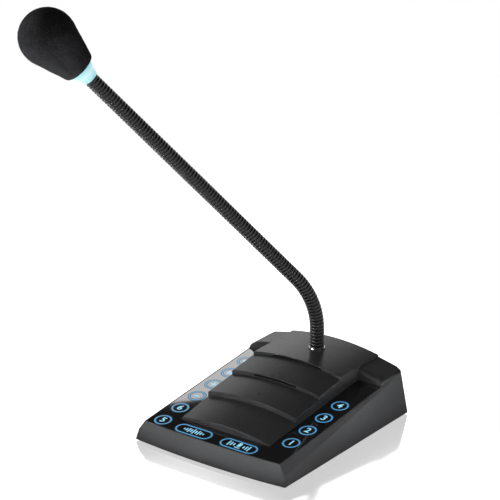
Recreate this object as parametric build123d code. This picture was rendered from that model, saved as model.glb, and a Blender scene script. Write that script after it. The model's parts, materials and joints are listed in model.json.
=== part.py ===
from build123d import *
import os
from math import atan, cos, degrees, radians, sin, sqrt

# Desk intercom console with a gooseneck microphone, in millimetres.
# +Z up, -Y towards the user. The housing is modelled with its lower rim at z = 0
# and lifted onto its foot ring when it is written, so that z = 0 is then the desk.

# Housing
foot_stand = 1.2            # rim of the housing above the desk
base_half_width = 64.5
base_front = 73.9           # front corners of the rim, forward of the origin
base_rear = 75.5
base_bow = 3.5              # the front wall bows forward this much at the rim
wall = 2.2
clearance = 0.25            # between neighbouring fixed pieces
panel_inset, panel_setback = 6.2, 3.3      # of the control panel, from the rim
panel_half_width = base_half_width - panel_inset
panel_front = base_front - panel_setback
panel_front_height = 14.1
panel_bow = 1.8
panel_slope = 0.106         # rise of the control panel per unit of depth
crease_height = 6.8         # the side wall folds here at the front ...
crease_inset = 1.5
crease_rise = 0.148         # ... and the fold climbs and leans in towards the rear
crease_lean = 0.0305
rear_corner_radius = 2.0
front_corner_radius = 1.2

# Louvred centre section, four overlapping crowned steps
tongue_share = 0.65         # of the panel's width
tongue_half_width = tongue_share * panel_half_width
crown_radius = 186.0
step_front = (-55.0, -24.9, 2.9, 28.3)      # where each step starts
step_start_height = (20.2, 29.0, 35.1, 40.8)   # crest at its front edge
step_end_height = (25.6, 32.5, 38.7, 41.1)     # crest where the next one covers it
step_edge_radius = 0.7
slit_height = 1.5
slit_flare = 1.0            # its floor is wider than its mouth by this on each side
slit_half_widths = (18.0, 21.0)             # sound slits under the two upper steps
slit_skin = 0.55                            # lip left above a slit
slit_depth = 5.0

# Rear shoulders, built up from the panel's plane at the rear
shoulder_front = 49.8
shoulder_edge_rise = 0.3    # the upright outer edge
shoulder_drop = 2.5         # the sloping strip above it
shoulder_crown = 3.5        # and the top, rising to the louvred section
shoulder_strip = 4.7        # width of the sloping strip with the outer edge's lean
shoulder_lean = 0.7         # the outer edge leans in by this
shoulder_nose = 3.5         # the front edge rolls down to the panel with this radius
panel_rear_height = panel_front_height + panel_slope * (base_rear + panel_front)
shoulder_break = panel_half_width - shoulder_strip
shoulder_outer_height = panel_rear_height + shoulder_edge_rise + shoulder_drop
shoulder_inner_height = shoulder_outer_height + shoulder_crown

# Control panel stack, measured downwards from the panel's top face
panel_rim = 0.8
panel_thickness = 1.2
panel_floor = 1.6
guide_thickness = 1.2
board_thickness = 1.2
key_window_radius = 6.0     # light windows under the round keys
key_inset = 10.4            # key centres, from the panel's side edges
key_x = panel_half_width - key_inset
key_first = -63.1
key_pitch = 19.14
left_keys = 6
right_keys = 4
pill_x = 19.3
pill_window_y = -63.5       # light windows under the two long keys
pill_window_length = 26.0
pill_window_width = 7.4
led_length = 2.8
led_width = 1.4
led_height = 0.7
guide_top = panel_thickness + panel_floor
board_top = guide_top + guide_thickness
board_boss_radius, board_screw_radius = 2.2, 0.9
board_head_radius, board_head_height = 1.8, 1.2

# Base pieces
bottom_thickness = 2.2
foot_ring_front, foot_ring_rear = -62.0, 59.0
foot_ring_margin = 11.5
foot_ring_breadth = 2 * (base_half_width - foot_ring_margin)
foot_ring_width = 7.0
foot_ring_sink = 1.0
boss_radius = 3.4
housing_screw_radius = 1.5
housing_screw_head = 2.9
housing_head_height = 1.2
housing_screw_length = 10.0
housing_bore_radius = 1.2
front_screw_margin, front_screw_y = 31.5, -49.0
front_screw_x = base_half_width - front_screw_margin
rear_screw_margin, rear_screw_setback = 14.5, 10.5
rear_screw_x, rear_screw_y = base_half_width - rear_screw_margin, base_rear - rear_screw_setback
ballast_margin = 9.0        # beyond the front screws
ballast_breadth = 2 * (front_screw_x + ballast_margin)
ballast_length, ballast_thickness = 30.0, 4.0
ballast_y = front_screw_y
ballast_corner = 3.0
ballast_screw_inset = 4.0
ballast_bite = 1.0          # how far its screws go into the bottom
main_board_margin = 4.0     # inside the rear screws
main_board_length, main_board_breadth = 46.0, 2 * (rear_screw_x - main_board_margin)
main_board_height = 8.0     # underside of the board
main_board_thickness = 1.6
main_board_y = base_rear - wall - clearance - main_board_length / 2
post_radius = 3.0
small_screw_radius, small_head_radius, small_head_height = 1.1, 2.2, 1.3
small_screw_bite = 5.0
screw_play = 0.03           # a bore's radius beyond that of the screw it holds
head_rounding = 0.4         # share of a screw head's height that is rounded off

# Parts on the main board, placed from its centre
processor_x, processor_y, processor_side, processor_height = -18.0, -8.0, 10.0, 1.4
amplifier_x, amplifier_y = 4.0, -12.0
amplifier_length, amplifier_width, amplifier_height = 6.5, 5.0, 1.6
capacitor_places = ((20.0, -4.0), (30.0, -4.0))
capacitor_radius, capacitor_height = 4.0, 11.0

# Loudspeaker
speaker_radius = 25.0
speaker_y = -3.0
speaker_flange_height = 18.6
speaker_flange = 1.0
speaker_basket_depth = 8.0
magnet_radius = 12.0
magnet_height = 6.2
magnet_chamfer = 0.6
speaker_corner = 5.0
basket_wall = 0.8
basket_window_width, basket_window_height, basket_window_reach = 9.0, 4.8, 9.6
cone_rim_radius = 20.0
cone_neck_radius = 5.0
cone_rise = 4.6             # depth of the cone from its rim to its neck
cone_thickness = 0.5
cone_hem = 1.2              # glued onto the flange
surround_width, surround_height = 4.6, 1.0
dome_height = 1.6
gasket_width = 2.0
gasket_thickness = 1.0
speaker_post_offset = 21.5

# Rear sockets, in their own plate
rear_plate_half_width, rear_plate_height = 36.0, 25.5
line_socket_x, line_socket_width = -24.0, 15.4
line_socket_height, line_socket_depth = 13.2, 16.0
line_mouth_width, line_mouth_height, line_mouth_depth = 11.8, 8.4, 13.0
latch_width, latch_height = 6.2, 1.6        # groove for the plug's latch
dc_jack_x, dc_jack_width, dc_jack_height, dc_jack_depth = 6.0, 9.0, 11.0, 14.0
dc_bore_radius, dc_pin_radius, dc_bore_depth, dc_pin_recess = 2.85, 1.0, 9.5, 1.0
audio_jack_x, audio_jack_width, audio_jack_height, audio_jack_depth = 26.0, 8.0, 7.0, 14.0
audio_bore_radius, audio_bore_depth = 1.8, 13.0

# Gooseneck, measured along its centre line from its seat on the housing
neck_y = 53.2
neck_radius = 5.25
neck_lead = 15.3            # straight rise before the bend
neck_bend_radius = 59.0
neck_bend = 42.3
neck_swing = -43.5          # the bend leans to the user's left of straight ahead
neck_length = 267.8
hinge_first = 20.0
hinge_pitch = 31.0
hinge_count = 8
ball_radius = 3.6
ball_clearance = 0.3
joint_gap = 1.5             # groove between two links, opened or closed by a bend
collar_radius, collar_height, collar_chamfer = 5.95, 1.5, 0.5
ferrule_radius, ferrule_length, ferrule_bore = 4.9, 10.0, 2.5
snug = 0.05                 # between pieces that are pressed together
neck_seat = step_start_height[3] + 0.1
neck_boss_radius = 9.5
neck_boss_depth = 2.0
neck_boss_low = neck_seat - wall - neck_boss_depth
neck_base = neck_seat - 0.4
washer_radius, washer_thickness = 8.6, 1.2
nut_across_flats, nut_thickness = 14.0, 4.0

# Microphone head, measured from the end of the neck
ring_small_radius, ring_large_radius, ring_length = 5.7, 8.8, 9.6
ring_wall = 1.3
ring_floor = 2.4
ring_hole = 2.4             # for the wires
ring_board_level, ring_board_thickness, ring_board_hole = 5.0, 1.0, 2.0
ring_leds = 6
ring_led_length, ring_led_width = 1.6, 1.2
capsule_housing_radius, capsule_housing_length = 8.0, 27.0
capsule_housing_wall = 1.1
spigot_length = 1.9         # plugs into the light ring
capsule_radius, capsule_length, capsule_edge = 4.85, 6.6, 0.5
capsule_depth = 0.6         # below the grille
boot_floor, boot_lip = 0.8, 1.5
boot_ledge = 1.2            # step inside the housing that the boot stands on
grille_thickness = 0.8
grille_hole = 0.6
grille_rings = ((6, 2.4), (12, 4.6))        # holes in each ring, and its radius
foam_radius = 20.1
foam_length = 51.7
foam_seat = 0.3             # gap between foam and light ring
foam_taper = 16.7           # half angle of the lower cone, degrees
foam_corner = 3.5
foam_crown_mark = 35.0      # a point of the round top, degrees above its middle
foam_bore_clearance = 0.4
foam_over_capsule = 1.2     # gap above the capsule housing inside the foam

down = -1.0


def export(name, shape):
    lifted = Pos(0, 0, foot_stand) * shape
    export_step(lifted, f"parts/{name}.step")


def group(shapes):
    return Compound([solid for shape in shapes for solid in shape.solids()])


# ---------------------------------------------------------------- housing form

def panel_height(y):
    return panel_front_height + panel_slope * (y + panel_front)


def section(y, inset, drop):
    crease = y + base_front
    crease_x = base_half_width - crease_inset - crease_lean * crease - inset
    crease_z = crease_height + crease_rise * crease - drop
    right = [
        (base_half_width - inset, y, 0),
        (crease_x, y, crease_z),
        (panel_half_width - inset, y, panel_height(y) - drop),
    ]
    left = [(-x, y, z) for x, _, z in reversed(right)]
    return make_face(Polyline(*right, *left, close=True))


def wedge(inset=0.0, drop=0.0):
    front_end = -(base_front + base_bow) - wall
    return loft([section(front_end, inset, drop), section(base_rear - inset, inset, drop)], ruled=True)


def front_outline(z, offset):
    """Everything ahead of the bowed front wall at this height."""
    far, ahead = 1.5 * base_half_width, 2 * base_front
    rise = z / panel_front_height
    corner = -base_front + (base_front - panel_front) * rise + offset
    bow = base_bow + (panel_bow - base_bow) * rise
    middle = corner - bow
    side = middle + bow * (far / base_half_width) ** 2
    outline = ThreePointArc((-far, side, z), (0, middle, z), (far, side, z))
    edge = Polyline((far, side, z), (far, -ahead, z), (-far, -ahead, z), (-far, side, z))
    return make_face(outline + edge)


def front_cutter(offset=0.0):
    low, high = -wall, panel_front_height + 3 * wall
    return loft([front_outline(low, offset), front_outline(high, offset)], ruled=True)


def rear_corner_face(sign, z):
    """What lies outside the rounded rear corner at this height."""
    rear_crease = base_rear + base_front
    lean = (crease_inset + crease_lean * rear_crease) / (crease_height + crease_rise * rear_crease)
    x, y, radius, far = base_half_width - lean * z, base_rear, rear_corner_radius, 2 * wall
    mid = radius * (1 - sqrt(0.5))
    start, end = (sign * x, y - radius, z), (sign * (x - radius), y, z)
    round_part = ThreePointArc(start, (sign * (x - mid), y - mid, z), end)
    rest = Polyline(
        end, (sign * (x - radius), y + far, z), (sign * (x + far), y + far, z),
        (sign * (x + far), y - radius, z), start,
    )
    return make_face(round_part + rest)


def rear_corner_cutter(sign):
    return loft([rear_corner_face(sign, z) for z in (-wall, step_end_height[-1])], ruled=True)


def crown_drop(x):
    return crown_radius - sqrt(crown_radius ** 2 - x ** 2)


def crowned_face(y, half_width, low, crest):
    edge = crest - crown_drop(half_width)
    right, left = (half_width, y, edge), (-half_width, y, edge)
    top = ThreePointArc(right, (0, y, crest), left)
    rest = Polyline(left, (-half_width, y, low), (half_width, y, low), right)
    return make_face(top + rest)


def step_ends():
    return step_front[1:] + (base_rear,)


def tongue(inset=0.0, drop=0.0, radius=0.0):
    half = tongue_half_width - inset
    low = panel_front_height / 2
    body = None
    ends = step_ends()
    for i, front in enumerate(step_front):
        last = i == len(step_front) - 1
        stop = ends[i] - inset if last else ends[i] + inset
        slope = (step_end_height[i] - step_start_height[i]) / (ends[i] - front)
        first_crest = step_start_height[i] - drop + slope * inset
        last_crest = step_start_height[i] - drop + slope * (stop - front)
        first = crowned_face(front + inset, half, low, first_crest)
        step = loft([first, crowned_face(stop, half, low, last_crest)], ruled=True)
        if radius:
            lip = step.edges().group_by(Axis.Y)[0].sort_by(Axis.Z)[-1]
            sides = [
                e for e in step.edges()
                if abs(abs(e.center().X) - half) < 0.01 and e.center().Z > low + radius
                and e.bounding_box().size.Y > 2 * radius
            ]
            step = fillet([lip] + sides, radius)
        body = step if body is None else body + step
    return body


def shoulder_section(y, inset, drop):
    """Across the housing behind the panel; its foot runs up the panel's edge."""
    foot = panel_half_width - inset
    right = [
        (foot - wall, panel_height(y) - 2 * wall - drop),
        (foot, panel_height(y) - drop),
        (foot - shoulder_lean, shoulder_outer_height - shoulder_drop - drop),
        (shoulder_break - inset, shoulder_outer_height - drop),
        (tongue_half_width - inset, shoulder_inner_height - drop),
    ]
    left = [(-x, z) for x, z in reversed(right)]
    return make_face(Polyline(*[(x, y, z) for x, z in right + left], close=True))


def shoulders(inset=0.0, drop=0.0):
    front = shoulder_front + inset
    body = loft([shoulder_section(y, inset, drop) for y in (front, base_rear - inset)], ruled=True)
    low = shoulder_outer_height - shoulder_drop - drop
    nose = body.edges().filter_by(lambda e: abs(e.center().Y - front) < 0.01 and e.center().Z > low + 0.3)
    return fillet(nose, shoulder_nose) if inset == 0 else body


def on_panel(shape):
    """Places a flat shape, drawn with z = 0 on top, in the plane of the control panel."""
    tilt = degrees(atan(panel_slope))
    return Pos(0, 0, panel_height(0)) * Rot(tilt, 0, 0) * shape


def along(y):
    """Distance along the sloping panel of a point at depth y."""
    return y * sqrt(1 + panel_slope ** 2)


def panel_outline(inset):
    half = panel_half_width - inset
    front = along(-panel_front) + inset
    rear = along(shoulder_front) - inset
    bowed = ThreePointArc((-half, front), (0, front - panel_bow), (half, front))
    sides = Polyline((half, front), (half, rear), (-half, rear), (-half, front))
    centre_half = tongue_half_width + inset - panel_rim
    centre_front = along(step_front[0]) - (inset - panel_rim)
    centre_rear = rear + panel_rim
    gap = Polyline(
        (-centre_half, centre_front), (centre_half, centre_front),
        (centre_half, centre_rear), (-centre_half, centre_rear), close=True,
    )
    return make_face(bowed + sides) - make_face(gap)


def key_places():
    """Centres of the round keys in the panel's plane, left column first."""
    left = [(-key_x, along(key_first + i * key_pitch)) for i in range(left_keys)]
    right = [(key_x, along(key_first + (i + 1) * key_pitch)) for i in range(right_keys)]
    return left + right


def pill_places():
    return [(-pill_x, along(pill_window_y)), (pill_x, along(pill_window_y))]


def key_shapes(clear):
    rings = [Pos(x, y) * Circle(key_window_radius - clear) for x, y in key_places()]
    pill = SlotOverall(pill_window_length - 2 * clear, pill_window_width - 2 * clear)
    pills = [Pos(x, y) * pill for x, y in pill_places()]
    return rings + pills


def board_screw_places():
    between = key_first + 1.5 * key_pitch
    far = key_first + 4.5 * key_pitch
    return [(x, along(y)) for x in (-key_x, key_x) for y in (between, far)] + [(0, along(pill_window_y))]


def slit(index):
    """Sound slit in the lip of an upper step, and the pocket that joins it to the inside."""
    step = index + 2
    half = slit_half_widths[index]
    crest = step_start_height[step] - slit_skin
    low = crest - 4 * slit_height
    front, stop = step_front[step] - wall, step_front[step] + slit_depth
    inner = step_front[step] + wall

    def block(start, end, half_width, bottom, top):
        return extrude(crowned_face(start, half_width, bottom, top), amount=end - start, dir=(0, 1, 0))

    floor = block(front - wall, stop + wall, half + slit_flare, low - slit_height, crest - slit_height)
    return block(front, stop, half, low, crest) - floor + block(inner, stop, half, low, crest)


def socket_floor():
    return main_board_height + main_board_thickness


def upright(x, y, radius, low, high):
    return Pos(x, y, low) * Cylinder(radius, high - low, align=(Align.CENTER, Align.CENTER, Align.MIN))


def housing_screw_places():
    places = ((front_screw_x, front_screw_y), (rear_screw_x, rear_screw_y))
    return [(sign * x, y) for x, y in places for sign in (-1, 1)]


def rear_notch(clear):
    """Where the socket plate sits in the rear wall."""
    height = rear_plate_height - clear
    return Pos(0, base_rear - wall / 2, height / 2) * Box(2 * (rear_plate_half_width - clear), wall, height)


def make_top_cover():
    outer = wedge() + tongue(radius=step_edge_radius) + shoulders() - front_cutter()
    for sign in (-1, 1):
        outer = outer - rear_corner_cutter(sign)
    corners = outer.edges().filter_by(
        lambda e: abs(e.center().X) > panel_half_width and e.center().Y < -panel_front
        and e.bounding_box().size.Z > crease_height / 2
    )
    outer = fillet(corners, front_corner_radius)
    inner = wedge(wall, guide_top) + tongue(wall, wall) + shoulders(wall, wall) - front_cutter(wall)
    cover = outer - inner
    # recess for the panel, and a window under each key
    cover = cover - on_panel(extrude(panel_outline(panel_rim), amount=down * panel_thickness))
    for shape in key_shapes(0):
        cover = cover - on_panel(Pos(0, 0, -panel_thickness / 2) * extrude(shape, amount=down * board_top))
    for index in range(len(slit_half_widths)):
        cover = cover - slit(index)
    # bosses for the housing screws, and for the key board's small ones
    half = wall / 2
    middle = wedge(half) + tongue(half, half) + shoulders(half, half)
    for x, y in housing_screw_places():
        cover = cover + (upright(x, y, boss_radius, bottom_thickness, step_start_height[-1]) & middle)
        cover = cover - upright(x, y, housing_bore_radius, bottom_thickness, housing_screw_length)
    cover = cover + board_bosses()
    for hole in board_screw_holes():
        cover = cover - hole
    # thick seat for the neck
    cover = cover + upright(0, neck_y, neck_boss_radius, neck_boss_low, neck_seat - half)
    cover = cover - upright(0, neck_y, collar_radius + clearance, neck_base, neck_seat + wall)
    cover = cover - upright(0, neck_y, ferrule_radius + clearance, neck_boss_low - wall, neck_seat + wall)
    return cover - rear_notch(0) - Pos(0, 0, -wall / 2) * rear_notch(0)


def make_rear_plate():
    plate = rear_notch(clearance)
    for x, width, height in socket_list():
        low = socket_floor() - clearance
        opening = Box(width + 2 * clearance, 3 * wall, height + 2 * clearance)
        plate = plate - Pos(x, base_rear, low + height / 2 + clearance) * opening
    return plate


def socket_list():
    return (
        (line_socket_x, line_socket_width, line_socket_height),
        (dc_jack_x, dc_jack_width, dc_jack_height),
        (audio_jack_x, audio_jack_width, audio_jack_height),
    )


# ------------------------------------------------------------- panel and keys

def make_touch_panel():
    return on_panel(extrude(panel_outline(panel_rim + clearance / 2), amount=down * panel_thickness))


def board_outline():
    """The U of the light guide and the key board, in the panel's plane."""
    half = panel_half_width - wall - clearance
    front = along(-panel_front) + wall + 2 * clearance
    rear = along(key_first + left_keys * key_pitch) - key_pitch / 2 + 2 * clearance
    inside = tongue_half_width + 2 * clearance
    arm_front = along(pill_window_y) + pill_window_width / 2 + 1
    return make_face(Polyline(
        (-half, front), (half, front), (half, rear), (inside, rear), (inside, arm_front),
        (-inside, arm_front), (-inside, rear), (-half, rear), close=True,
    ))


def led_places():
    pills = [(x + sx * pill_window_length / 4, y) for x, y in pill_places() for sx in (-1, 1)]
    return key_places() + pills


def make_key_light_guide():
    plate = Pos(0, 0, -guide_top) * extrude(board_outline(), amount=down * guide_thickness)
    for shape in key_shapes(clearance):
        rise = extrude(shape, amount=down * (panel_floor + guide_thickness / 2))
        plate = plate + Pos(0, 0, -panel_thickness) * rise
    pocket = Box(led_length + 2 * clearance, led_width + 2 * clearance, 2 * led_height + clearance)
    for x, y in led_places():
        plate = plate - Pos(x, y, -board_top) * pocket
    for x, y in board_screw_places():
        hole = Cylinder(board_boss_radius + clearance, 3 * guide_thickness)
        plate = plate - Pos(x, y, -board_top) * hole
    return on_panel(plate)


def make_key_board():
    board = Pos(0, 0, -board_top) * extrude(board_outline(), amount=down * board_thickness)
    hole = Cylinder(board_screw_radius + clearance / 2, 3 * board_thickness)
    for x, y in board_screw_places():
        board = board - Pos(x, y, -board_top) * hole
    return on_panel(board)


def make_key_leds():
    chip = Box(led_length, led_width, led_height, align=(Align.CENTER, Align.CENTER, Align.MIN))
    return group([on_panel(Pos(x, y, -board_top) * chip) for x, y in led_places()])


def pan_screw(shank_radius, shank_length, head_radius, head_height):
    """Head below z = 0 and shank above it."""
    head = Cylinder(head_radius, head_height, align=(Align.CENTER, Align.CENTER, Align.MAX))
    head = fillet(head.edges().group_by(Axis.Z)[0], head_rounding * head_height)
    shank = Cylinder(shank_radius, shank_length, align=(Align.CENTER, Align.CENTER, Align.MIN))
    return head + shank


def make_key_board_screws():
    length = board_thickness + guide_thickness + panel_floor / 2
    screw = pan_screw(board_screw_radius, length, board_head_radius, board_head_height)
    places = [Pos(x, y, -board_top - board_thickness) for x, y in board_screw_places()]
    return group([on_panel(place * screw) for place in places])


def board_bosses():
    """Small bosses under the panel floor that the key board is screwed to."""
    bosses = None
    for x, y in board_screw_places():
        height = guide_thickness + panel_floor / 4
        boss = Cylinder(board_boss_radius, height, align=(Align.CENTER, Align.CENTER, Align.MIN))
        boss = on_panel(Pos(x, y, -board_top) * boss)
        bosses = boss if bosses is None else bosses + boss
    return bosses


def board_screw_holes():
    depth = guide_thickness + panel_floor / 2 + clearance
    hole = Cylinder(board_screw_radius + screw_play, depth, align=(Align.CENTER, Align.CENTER, Align.MIN))
    return [on_panel(Pos(x, y, -board_top) * hole) for x, y in board_screw_places()]


# ----------------------------------------------------------------- base pieces

def foot_ring_shape(clear):
    y = (foot_ring_rear + foot_ring_front) / 2
    length = foot_ring_rear - foot_ring_front
    outer = RectangleRounded(foot_ring_breadth + 2 * clear, length + 2 * clear, foot_ring_width)
    cut = 2 * (foot_ring_width + clear)
    inner = Rectangle(foot_ring_breadth - cut, length - cut)
    return Pos(0, y) * (outer - inner)


def make_foot_ring():
    return Pos(0, 0, -foot_stand) * extrude(foot_ring_shape(0), amount=foot_stand + foot_ring_sink)


def ballast_screw_places():
    x = ballast_breadth / 2 - ballast_screw_inset
    reach = ballast_length / 2 - ballast_screw_inset
    return [(sx * x, ballast_y + sy * reach) for sx in (-1, 1) for sy in (-1, 1)]


def main_board_screw_places():
    x = main_board_breadth / 2 - post_radius
    reach = main_board_length / 2 - post_radius
    return [(sx * x, main_board_y + sy * reach) for sx in (-1, 1) for sy in (-1, 1)]


def speaker_screw_places():
    reach = speaker_post_offset
    return [(sx * reach, speaker_y + sy * reach) for sx in (-1, 1) for sy in (-1, 1)]


def make_bottom_cover():
    slab = Pos(0, 0, bottom_thickness / 2) * Box(4 * base_half_width, 4 * base_rear, bottom_thickness)
    inside = wedge(wall + clearance, guide_top) - front_cutter(wall + clearance)
    bore = small_screw_radius + screw_play
    plate = inside & slab
    plate = plate - extrude(foot_ring_shape(clearance / 2), amount=foot_ring_sink)
    for x, y in main_board_screw_places():
        plate = plate + upright(x, y, post_radius, bottom_thickness, main_board_height)
        plate = plate - upright(x, y, bore, main_board_height - small_screw_bite, main_board_height)
    for x, y in speaker_screw_places():
        top = speaker_flange_height
        plate = plate + upright(x, y, post_radius, bottom_thickness, top)
        plate = plate - upright(x, y, bore, top - small_screw_bite, top)
    for x, y in ballast_screw_places():
        plate = plate - upright(x, y, bore, bottom_thickness - ballast_bite, bottom_thickness)
    for x, y in housing_screw_places():
        plate = plate - upright(x, y, housing_screw_radius + clearance, -wall, 2 * bottom_thickness)
        plate = plate - upright(x, y, housing_screw_head + clearance, -wall, housing_head_height)
    return plate


def make_housing_screws():
    shank = housing_screw_length - housing_head_height
    screw = pan_screw(housing_bore_radius - screw_play, shank, housing_screw_head, housing_head_height)
    return group([Pos(x, y, housing_head_height) * screw for x, y in housing_screw_places()])


def make_ballast_plate():
    plate = Pos(0, ballast_y, bottom_thickness) * extrude(
        RectangleRounded(ballast_breadth, ballast_length, ballast_corner), amount=ballast_thickness
    )
    for x, y in ballast_screw_places():
        plate = plate - upright(x, y, small_screw_radius + clearance, 0, 2 * panel_front_height)
    for x, y in housing_screw_places():
        plate = plate - upright(x, y, boss_radius + 2 * clearance, 0, 2 * panel_front_height)
    return plate


def top_screws(places, seat, length):
    """Screws whose heads stand on a seat and whose shanks go down."""
    screw = Rot(180, 0, 0) * pan_screw(small_screw_radius, length, small_head_radius, small_head_height)
    return group([Pos(x, y, seat) * screw for x, y in places])


def make_main_board():
    board = Pos(0, main_board_y, main_board_height) * extrude(
        Rectangle(main_board_breadth, main_board_length), amount=main_board_thickness
    )
    for x, y in main_board_screw_places():
        board = board - upright(x, y, small_screw_radius + clearance, 0, 2 * main_board_height)
    return board


def make_main_board_chips():
    """Processor, audio amplifier and two tall capacitors."""
    top = socket_floor()
    processor = extrude(Rectangle(processor_side, processor_side), amount=processor_height)
    amplifier = extrude(Rectangle(amplifier_length, amplifier_width), amount=amplifier_height)
    cans = [
        upright(x, main_board_y + y, capacitor_radius, top, top + capacitor_height)
        for x, y in capacitor_places
    ]
    return group([
        Pos(processor_x, main_board_y + processor_y, top) * processor,
        Pos(amplifier_x, main_board_y + amplifier_y, top) * amplifier,
        *cans,
    ])


# --------------------------------------------------------------------- speaker

def revolved(points):
    return revolve(make_face(Polyline(*[(x, 0, z) for x, z in points], close=True)), Axis.Z)


def at_speaker(shape):
    return Pos(0, speaker_y, speaker_flange_height) * shape


def make_speaker_frame():
    square = RectangleRounded(2 * speaker_radius, 2 * speaker_radius, speaker_corner)
    plate = extrude(square, amount=speaker_flange)
    top, low = cone_rim_radius + 2 * basket_wall, magnet_radius + basket_wall
    depth = -speaker_basket_depth
    shell = revolved([
        (top + basket_wall, 0), (low + basket_wall, depth), (0, depth), (0, depth + basket_wall),
        (low, depth + basket_wall), (top, 0),
    ])
    frame = plate - Cylinder(cone_rim_radius, 4 * speaker_flange) + shell
    window = Box(basket_window_reach, basket_window_width, basket_window_height)
    window = Pos(low + basket_wall, 0, depth / 2) * window
    for i in range(4):
        frame = frame - Rot(0, 0, 45 + 90 * i) * window
    for x, y in speaker_screw_places():
        hole = Cylinder(small_screw_radius + clearance, 4 * speaker_flange)
        frame = frame - Pos(x, y - speaker_y, 0) * hole
    return at_speaker(frame)


def make_speaker_magnet():
    low = -speaker_basket_depth
    body = Pos(0, 0, low - magnet_height) * extrude(Circle(magnet_radius), amount=magnet_height)
    return at_speaker(chamfer(body.edges().group_by(Axis.Z)[0], magnet_chamfer))


def make_speaker_cone():
    rim, neck, skin, seat = cone_rim_radius, cone_neck_radius, cone_thickness, speaker_flange
    hem, fold, crest = rim + cone_hem, rim - surround_width, rim - surround_width / 2
    dome = dome_height - cone_rise
    cone = revolved([
        (hem, seat + skin), (rim, seat + skin), (crest, seat + skin + surround_height), (fold, seat),
        (neck, -cone_rise), (0, dome), (0, dome - skin), (neck, -cone_rise - skin),
        (fold, seat - skin), (crest, seat + surround_height), (rim - skin / 2, seat), (hem, seat),
    ])
    return at_speaker(cone)


def make_speaker_gasket():
    inside = cone_rim_radius + cone_hem + clearance
    ring = Circle(inside + gasket_width) - Circle(inside)
    return at_speaker(Pos(0, 0, speaker_flange) * extrude(ring, amount=gasket_thickness))


# ---------------------------------------------------------------- rear sockets

def socket_block(x, width, height, depth):
    block = Box(width, depth, height)
    return Pos(x, base_rear - clearance - depth / 2, socket_floor() + height / 2) * block


def make_line_socket():
    body = socket_block(line_socket_x, line_socket_width, line_socket_height, line_socket_depth)
    middle = base_rear - clearance - line_mouth_depth / 2
    level = socket_floor() + line_socket_height / 2
    mouth = Box(line_mouth_width, line_mouth_depth, line_mouth_height)
    latch = Box(latch_width, line_mouth_depth, latch_height)
    latch_level = level - (line_mouth_height + latch_height) / 2
    body = body - Pos(line_socket_x, middle, level) * mouth
    return body - Pos(line_socket_x, middle, latch_level) * latch


def make_dc_jack():
    body = socket_block(dc_jack_x, dc_jack_width, dc_jack_height, dc_jack_depth)
    face = base_rear - clearance
    axis = Pos(dc_jack_x, face, socket_floor() + dc_jack_height / 2) * Rot(90, 0, 0)
    bore = Cylinder(dc_bore_radius, dc_bore_depth, align=(Align.CENTER, Align.CENTER, Align.MIN))
    return body - axis * bore


def make_dc_pin():
    face = base_rear - clearance - dc_pin_recess
    axis = Pos(dc_jack_x, face, socket_floor() + dc_jack_height / 2) * Rot(90, 0, 0)
    length = dc_bore_depth - dc_pin_recess
    return axis * Cylinder(dc_pin_radius, length, align=(Align.CENTER, Align.CENTER, Align.MIN))


def make_audio_jack():
    body = socket_block(audio_jack_x, audio_jack_width, audio_jack_height, audio_jack_depth)
    face = base_rear - clearance
    axis = Pos(audio_jack_x, face, socket_floor() + audio_jack_height / 2) * Rot(90, 0, 0)
    bore = Cylinder(audio_bore_radius, audio_bore_depth, align=(Align.CENTER, Align.CENTER, Align.MIN))
    return body - axis * bore


# ------------------------------------------------------------------- gooseneck

lean = (sin(radians(neck_swing)), -cos(radians(neck_swing)), 0)
side = (cos(radians(neck_swing)), sin(radians(neck_swing)), 0)
bend_length = neck_bend_radius * radians(neck_bend)


def neck_point(s):
    """Height and reach of the neck's centre line, and its angle from upright, at distance s."""
    if s <= neck_lead:
        reach, rise, angle = 0.0, s, 0.0
    elif s <= neck_lead + bend_length:
        angle = (s - neck_lead) / neck_bend_radius
        reach = neck_bend_radius * (1 - cos(angle))
        rise = neck_lead + neck_bend_radius * sin(angle)
    else:
        angle = radians(neck_bend)
        rest = s - neck_lead - bend_length
        reach = neck_bend_radius * (1 - cos(angle)) + rest * sin(angle)
        rise = neck_lead + neck_bend_radius * sin(angle) + rest * cos(angle)
    return (lean[0] * reach, neck_y + lean[1] * reach, neck_base + rise), angle


def neck_frame(s):
    """Frame on the centre line: Z along the neck, X the sideways horizontal."""
    point, angle = neck_point(s)
    along_neck = (lean[0] * sin(angle), lean[1] * sin(angle), cos(angle))
    return Location(Plane(origin=point, x_dir=side, z_dir=along_neck))


def neck_path(start, stop):
    bends = [m for m in (neck_lead, neck_lead + bend_length) if start + 0.01 < m < stop - 0.01]
    marks = [start, *bends, stop]
    edges = []
    for a, b in zip(marks, marks[1:]):
        if neck_lead - 0.01 <= a and b <= neck_lead + bend_length + 0.01:
            middle = neck_point((a + b) / 2)[0]
            edges.append(ThreePointArc(neck_point(a)[0], middle, neck_point(b)[0]))
        else:
            edges.append(Line(neck_point(a)[0], neck_point(b)[0]))
    return Wire(edges)


def hinge_places():
    return [hinge_first + i * hinge_pitch for i in range(hinge_count)]


def neck_piece(start, stop, cup, ball):
    """A length of the neck, with a cup at its lower end and a ball at its upper end."""
    low = start + joint_gap / 2 if cup else start
    high = stop - joint_gap / 2 if ball else stop
    piece = sweep(neck_frame(low) * Circle(neck_radius), path=neck_path(low, high))
    if ball:
        piece = piece + neck_frame(stop) * Sphere(ball_radius)
    if cup:
        piece = piece - neck_frame(start) * Sphere(ball_radius + ball_clearance)
    return piece


def neck_nodes():
    places = hinge_places()
    yield "neck_root", neck_piece(0, places[0], False, True)
    for i in range(hinge_count - 1):
        yield f"neck_link_{i + 1}", neck_piece(places[i], places[i + 1], True, True)
    yield "neck_tip", neck_piece(places[-1], neck_length, True, False)


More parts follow.
